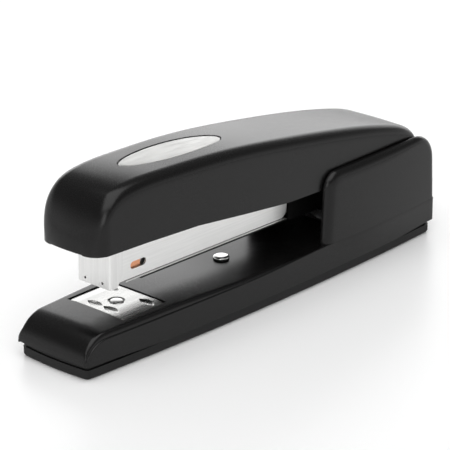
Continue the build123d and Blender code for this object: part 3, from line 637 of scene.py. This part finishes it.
def deck_height(s, y, inset=0.0):
    """Height of the painted deck inside its shoulders."""
    half = wall_half(s, inset)[1]
    grown = min(1.0, (deck_top(s) - lip(s)) / NOSE_RISE)
    return deck_top(s, inset) - DECK_CROWN * (y / half) ** 2 * grown


def deck_section(s, inset):
    """Points (y, z) from one lip over the deck to the other: wall, ledge, shoulder and deck."""
    low, high = wall_half(s, inset)
    foot, crease = lip(s), crease_height(s, inset)
    grown = min(1.0, (deck_top(s) - foot) / NOSE_RISE)
    ledge = LEDGE * grown * (1 - 0.9 * merging(s))
    edge = crease - ledge
    side = [(low + (high - low) * i / 6, foot + (edge - foot) * i / 6) for i in range(7)]
    start, end = side[-1], (high - ledge, crease)
    for t in (0.25, 0.5, 0.75):
        side.append(tuple((1 - t) ** 2 * a + 2 * t * (1 - t) * b + t ** 2 * c
                          for a, b, c in zip(start, (high, crease), end)))
    side.append(end)
    wide = SHOULDER_WIDE * grown
    into = end[0] - wide
    shoulder = deck_height(s, into, inset)
    for i in range(1, 8):
        angle = math.pi / 2 * i / 8
        side.append((into + wide * math.cos(angle), crease + (shoulder - crease) * math.sin(angle)))
    border = (ANVIL_HALF + ANVIL_GAP) * min(1.0, into / POCKET_ROOM)
    lines = [into - (into - border) * i / 4 for i in range(4)]
    lines += [border + 0.01, border - 0.01] + [border * k for k in (0.92, 0.84, 0.76, 0.69, 0.5, 0.25, 0)]
    side += [(y, deck_height(s, y, inset)) for y in lines]
    return side + [(-y, z) for y, z in reversed(side[:-1])]


def base_stations():
    """Close together round the front, exact at the anvil's pocket, and close again at the rear."""
    front = [NOSE_LONG * (1 - math.cos(math.pi / 2 * (i + 0.6) / 24)) for i in range(24)]
    pocket = [edge + side for edge in (ANVIL_ENDS[0] - ANVIL_GAP, ANVIL_ENDS[1] + ANVIL_GAP)
              for side in (-0.01, 0.01)]
    middle = [13, 16, 19] + pocket[:2] + [25, 28, 31, 34, 37, 40] + pocket[2:]
    middle += [46 + 2.5 * i for i in range(54)]
    corner = [REAR - BASE_CORNER * (1 - math.sin(math.pi / 2 * i / 8)) for i in range(8)]
    return front + middle + [182, 184, 185.5] + corner + [REAR - 0.005]


def base_rows(inset):
    rows = []
    front, rear = inset, REAR - inset
    for s in base_stations():
        s = front + (rear - front) * s / REAR if inset else s
        bow_front = BASE_BOW * max(0.0, 1 - (s - front) / BOW_REACH[0])
        bow_rear = BASE_BOW * max(0.0, 1 - (rear - s) / BOW_REACH[1])
        half = wall_half(s, inset)[0]
        row = []
        for y, z in deck_section(s, inset):
            if not inset and inside_pocket(s, y):
                z = POCKET_FLOOR
            curved = (y / half) ** 2
            row.append((s + bow_front * curved + bow_rear * (1 - curved), y, z))
        rows.append(row)
    return rows


def inside_pocket(s, y):
    inside = ANVIL_ENDS[0] - ANVIL_GAP < s < ANVIL_ENDS[1] + ANVIL_GAP
    return inside and abs(y) < ANVIL_HALF + ANVIL_GAP


def make_base_deck():
    bm = bmesh.new()
    outer = [[place(*p) for p in row] for row in base_rows(0)]
    inner = [[place(*p) for p in row] for row in base_rows(SHEET)]
    add_sheet(bm, outer, inner)
    finish_piece("base_deck", bm, "base", "paint", ["base_shell"], sharp=40)


# ---- Wings ---------------------------------------------------------------------------------
def wing_edge(s, lean, radius, top, towards):
    """One edge of the outline, from its foot up to the end of its rounded corner."""
    edge = []
    for i in range(EDGE_STEPS):
        up = i / EDGE_STEPS
        edge.append((s + towards * lean * up, WING_FOOT + (top - radius - WING_FOOT) * up))
    for i in range(CORNER_STEPS + 1):
        a = math.pi / 2 * i / CORNER_STEPS
        edge.append((s + towards * (lean + radius * (1 - math.cos(a))), top - radius * (1 - math.sin(a))))
    return edge


def wing_path(inset):
    """The wing's outline from its front foot over to its rear foot, as three stretches of points."""
    front, rear, top = WING_FRONT + inset, REAR + 0.3 - inset, WING_TOP - inset
    radii = [r - inset for r in WING_RADII]
    left = wing_edge(front, WING_LEAN[0], radii[0], top, 1)
    right = wing_edge(rear, WING_LEAN[1], radii[1], top, -1)
    s0, s1 = left[-1][0], right[-1][0]
    over = [(s0 + (s1 - s0) * i / TOP_STEPS, top) for i in range(TOP_STEPS + 1)]
    return left, over, right


def fill_outline(left, over, right):
    """Points filling the outline: rows run from the left stretch to the right one."""
    rows = []
    count, height = len(over) - 1, len(left) - 1
    for j in range(height + 1):
        v = j / height
        row = []
        for i in range(count + 1):
            u = i / count
            edge = [left[j][k] + (right[j][k] - left[j][k]) * u for k in (0, 1)]
            tops = [left[-1][k] + (right[-1][k] - left[-1][k]) * u for k in (0, 1)]
            row.append(tuple(edge[k] + v * (over[i][k] - tops[k]) for k in (0, 1)))
        rows.append(row)
    return rows


def wing_face_half(s):
    """Half width at the wing's outer face, which ends just short of the rear edge."""
    return wing_half(min(s, REAR - 0.2))


def make_wing(side, name):
    """One wing: a flat face whose edge rolls over towards the cover, as a closed sheet."""
    bm = bmesh.new()
    grids = []
    for inset in (0.0, SHEET):
        rings = []
        for k in range(ROLL_STEPS + 1):
            angle = math.pi / 2 * k / ROLL_STEPS
            ring = []
            for s, z in rolled_path(inset, 1 - math.cos(angle)):
                half = wing_face_half(s) - inset
                y = SLOT_HALF + (half - SLOT_HALF) * math.sin(angle)
                ring.append((s, y, z))
            rings.append(ring)
        grids.append((rings, rolled_face(inset), inset))
    loops = []
    for rings, face, inset in grids:
        ring_verts = add_grid(bm, [[place(s, side * y, z) for s, y, z in ring] for ring in rings])
        face_verts = add_face_grid(bm, face, side, ring_verts[-1], inset)
        foot = [row[0] for row in ring_verts] + face_verts + [row[-1] for row in reversed(ring_verts)]
        loops.append(ring_verts[0][::-1] + foot)
    count = len(loops[0])
    for i in range(count):
        j = (i + 1) % count
        quad = (loops[0][i], loops[0][j], loops[1][j], loops[1][i])
        if len(set(quad)) == 4:
            bm.faces.new(quad)
    bmesh.ops.remove_doubles(bm, verts=bm.verts, dist=1e-7)
    finish_piece(name, bm, "base", "paint", ["base_shell"], sharp=40)


def rolled_path(inset, share):
    """The wing's outline drawn in by a share of the rolled edge's reach."""
    left, over, right = wing_path(inset)
    path = left[:-1] + over + right[-2::-1]
    moved = []
    reach = [roll - inset for roll in WING_ROLL]
    for at, (s, z) in enumerate(path):
        rear = smooth_step(s, WING_FRONT + 30, BASE_LONG - 6)
        depth = (reach[0] + (reach[1] - reach[0]) * rear) * share
        before, after = path[max(at - 1, 0)], path[min(at + 1, len(path) - 1)]
        long = math.dist(before, after)
        normal = ((after[1] - before[1]) / long, -(after[0] - before[0]) / long)
        if at in (0, len(path) - 1):
            normal = (math.copysign(1, normal[0]), 0.0)
        moved.append((s + normal[0] * depth, z + normal[1] * depth))
    return moved


def rolled_face(inset):
    """The wing's flat face, filling the innermost ring of its rolled edge."""
    ring = rolled_path(inset, 1.0)
    left, over = wing_path(inset)[:2]
    turn = len(left) - 1
    end = turn + len(over) - 1
    return fill_outline(ring[:turn + 1], ring[turn:end + 1], ring[end:][::-1])


def add_face_grid(bm, rows, side, ring, inset):
    """Fills the face, sharing the ring's vertices at its border; returns its foot without the ends."""
    height, count = len(rows), len(rows[0])
    verts = []
    for j in range(height):
        row = []
        for i in range(count):
            if i == 0:
                row.append(ring[j])
            elif i == count - 1:
                row.append(ring[len(ring) - 1 - j])
            elif j == height - 1:
                row.append(ring[height - 1 + i])
            else:
                s, z = rows[j][i]
                row.append(bm.verts.new(place(s, side * (wing_face_half(s) - inset), z)))
        verts.append(row)
    for low, high in zip(verts, verts[1:]):
        for i in range(count - 1):
            quad = (low[i], low[i + 1], high[i + 1], high[i])
            if len(set(quad)) == 4:
                bm.faces.new(quad)
    return verts[0][1:-1]


# ---- Anvil ---------------------------------------------------------------------------------
ANVIL_CORNER = 1.6
ANVIL_THICK = 0.68
ANVIL_ROLL = (9.0, 0.35)     # outside this distance from the middle the plate's sides roll down so far
# the crimping grooves: (distance from the pivot along X, distance of the groove's middle from it
# along Y, length, width, depth)
GROOVES = [(-6.7, 3.9, 7.6, 3.3, 0.60), (6.3, 8.6, 7.2, 3.6, 0.60)]
RING_GROOVE = (2.75, 0.45, 0.5)   # radius, half width and depth of the groove round the post


def groove_depth(s, y):
    radius, half_wide, ring_depth = RING_GROOVE
    off = (math.hypot(s - ANVIL_STATION, y) - radius) / half_wide
    deepest = ring_depth * math.sqrt(1 - off ** 2) if abs(off) < 1 else 0.0
    for along, out, long, wide, depth in GROOVES:
        u = (abs(y) - out) / (long / 2)
        if abs(u) < 1:
            v = (s - ANVIL_STATION - along) / (wide / 2 * (1 - u * u) + 1e-6)
            if abs(v) < 1:
                deepest = max(deepest, depth * (1 - v * v) ** 0.6 * (1 - u * u) ** 0.5)
    return deepest


def make_anvil_plate():
    bm = bmesh.new()
    front, rear = ANVIL_ENDS
    level, fall = ANVIL_ROLL
    rows = 120
    cols = 156
    grids = []
    for thick in (0.0, ANVIL_THICK):
        grid = []
        for i in range(rows + 1):
            s = front + (rear - front) * i / rows
            into = min(s - front, rear - s)
            half = ANVIL_HALF
            if into < ANVIL_CORNER:
                half -= ANVIL_CORNER - math.sqrt(ANVIL_CORNER ** 2 - (ANVIL_CORNER - into) ** 2)
            row = []
            for k in range(cols + 1):
                y = half * (2 * k / cols - 1)
                border = min(into, half - abs(y))
                soft = 0.12 * (1 - smooth_step(border, 0.0, 0.4)) if not thick else 0.0
                dent = groove_depth(s, y) if not thick else 0.0
                roll = fall * max(0.0, (abs(y) - level) / (ANVIL_HALF - level)) ** 2
                z = ANVIL_TOP - roll - thick - soft - dent
                row.append(place(s, y, z))
            grid.append(row)
        grids.append(grid)
    add_sheet(bm, *grids)
    finish_piece("anvil_plate_bent", bm, "anvil", "chrome", ["anvil_plate"], sharp=50)


def make_anvil_post():
    """The button under the base, its shaft, and its head in the middle of the plate."""
    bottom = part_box("anvil_post")[0].z / MM
    plate = ANVIL_TOP
    profile = [(0, bottom), (4.6, bottom), (5.2, bottom + 0.15), (5.5, bottom + 0.5), (5.5, bottom + 1.6),
               (2.6, bottom + 1.7), (2.6, DECK - 0.6), (1.8, DECK - 0.5), (1.8, plate - 0.35),
               (2.1, plate - 0.3), (2.25, plate - 0.05), (2.2, plate + 0.1), (2.0, plate + 0.16),
               (0, plate + 0.18)]
    bm = bmesh.new()
    lathe(bm, profile, place(ANVIL_STATION, 0, 0))
    finish_piece("anvil_post_turned", bm, "anvil_button", "chrome", ["anvil_post"],
                 sharp=50)


# ---- Stud and springs ----------------------------------------------------------------------
def make_deck_stud():
    low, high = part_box("deck_stud")
    station = ((low.x + high.x) / 2 - BASE_LOW.x) / MM
    radius, top = high.y / MM, high.z / MM
    profile = [(0, 12.5), (2.2, 12.5), (2.2, 13.2), (1.4, 13.3), (1.4, DECK + 0.4),
               (radius - 0.25, DECK + 0.45), (radius, top - 0.6), (radius - 0.08, top - 0.32),
               (radius - 0.4, top - 0.12), (radius - 0.9, top - 0.03), (radius - 1.6, top), (0, top)]
    bm = bmesh.new()
    lathe(bm, profile, place(station, 0, 0))
    finish_piece("deck_stud_domed", bm, "base", "stud", ["deck_stud"], sharp=50)


def make_anvil_coil():
    low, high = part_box("anvil_spring")
    middle = Vector(((low.x + high.x) / 2, 0, 0))
    wire = 0.4 * MM
    bottom, top = low.z + wire, high.z - wire
    bm = bmesh.new()
    coil(bm, middle + Vector((0, 0, bottom)), middle + Vector((0, 0, top)), high.y, wire, 4.5)
    piece = finish_piece("anvil_coil", bm, "base", "spring", ["anvil_spring"])
    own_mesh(piece)


def make_pusher_coil():
    low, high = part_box("pusher_spring")
    wire = 0.3 * MM
    radius = high.y
    slope = Vector((math.cos(MAG_PITCH), 0, -math.sin(MAG_PITCH)))
    front = Vector((low.x, 0, high.z - radius * math.cos(MAG_PITCH))) + slope * wire
    rear = Vector((high.x, 0, low.z + radius * math.cos(MAG_PITCH))) - slope * wire
    bm = bmesh.new()
    coil(bm, front, rear, radius, wire, 62, per_turn=14, around=6)
    piece = finish_piece("pusher_coil", bm, "magazine", "spring", ["pusher_spring"])
    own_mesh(piece)


def make_cover_coil():
    low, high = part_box("cover_return_spring")
    wire = 0.5 * MM
    middle = Vector(((low.x + high.x) / 2, 0, 0))
    bottom, top = low.z + wire * 1.3, high.z - wire * 1.3
    bm = bmesh.new()
    coil(bm, middle + Vector((0, 0, bottom)), middle + Vector((0, 0, top)), high.y, wire, 5.5)
    piece = finish_piece("cover_coil", bm, "magazine", "spring", ["cover_return_spring"])
    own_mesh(piece)


LEAF_THICK = 0.6
LEAF_FOOT = 7.0              # length of the leaf's flat foot


def make_return_leaf():
    """The bent leaf that holds the magazine up: a flat foot, a slope and a rolled tip."""
    low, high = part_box("base_return_spring")
    front, rear = ((x - BASE_LOW.x) / MM for x in (low.x, high.x))
    foot, top, half = low.z / MM, high.z / MM, high.y / MM
    bend = rear - LEAF_FOOT
    line = [(rear, foot + LEAF_THICK), (bend + 2, foot + LEAF_THICK), (bend - 1, foot + LEAF_THICK + 0.6),
            (front + 4, top - 1.1), (front + 2, top - 0.1), (front + 0.7, top - 0.9)]
    curve = walk(spline(line), lambda station: 0.5)
    grids = []
    for inset in (0.0, -LEAF_THICK):
        grids.append([[place(s, half * side, z) for side in (-1, -0.5, 0, 0.5, 1)]
                      for s, z in inward(curve, inset)])
    bm = bmesh.new()
    add_sheet(bm, *grids)
    piece = finish_piece("return_leaf", bm, "base", "spring", ["base_return_spring"])
    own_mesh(piece)


# ---- Build ---------------------------------------------------------------------------------
make_camera()
make_studio()
finishes = make_materials()
finish_cad_nodes(finishes)
make_cover_shell()
make_emblem_plate()
make_base_deck()
make_wing(-1, "base_wing_near")
make_wing(1, "base_wing_far")
make_anvil_plate()
make_anvil_post()
make_deck_stud()
make_anvil_coil()
make_pusher_coil()
make_cover_coil()
make_return_leaf()
bpy.context.scene.view_settings.view_transform = "Standard"
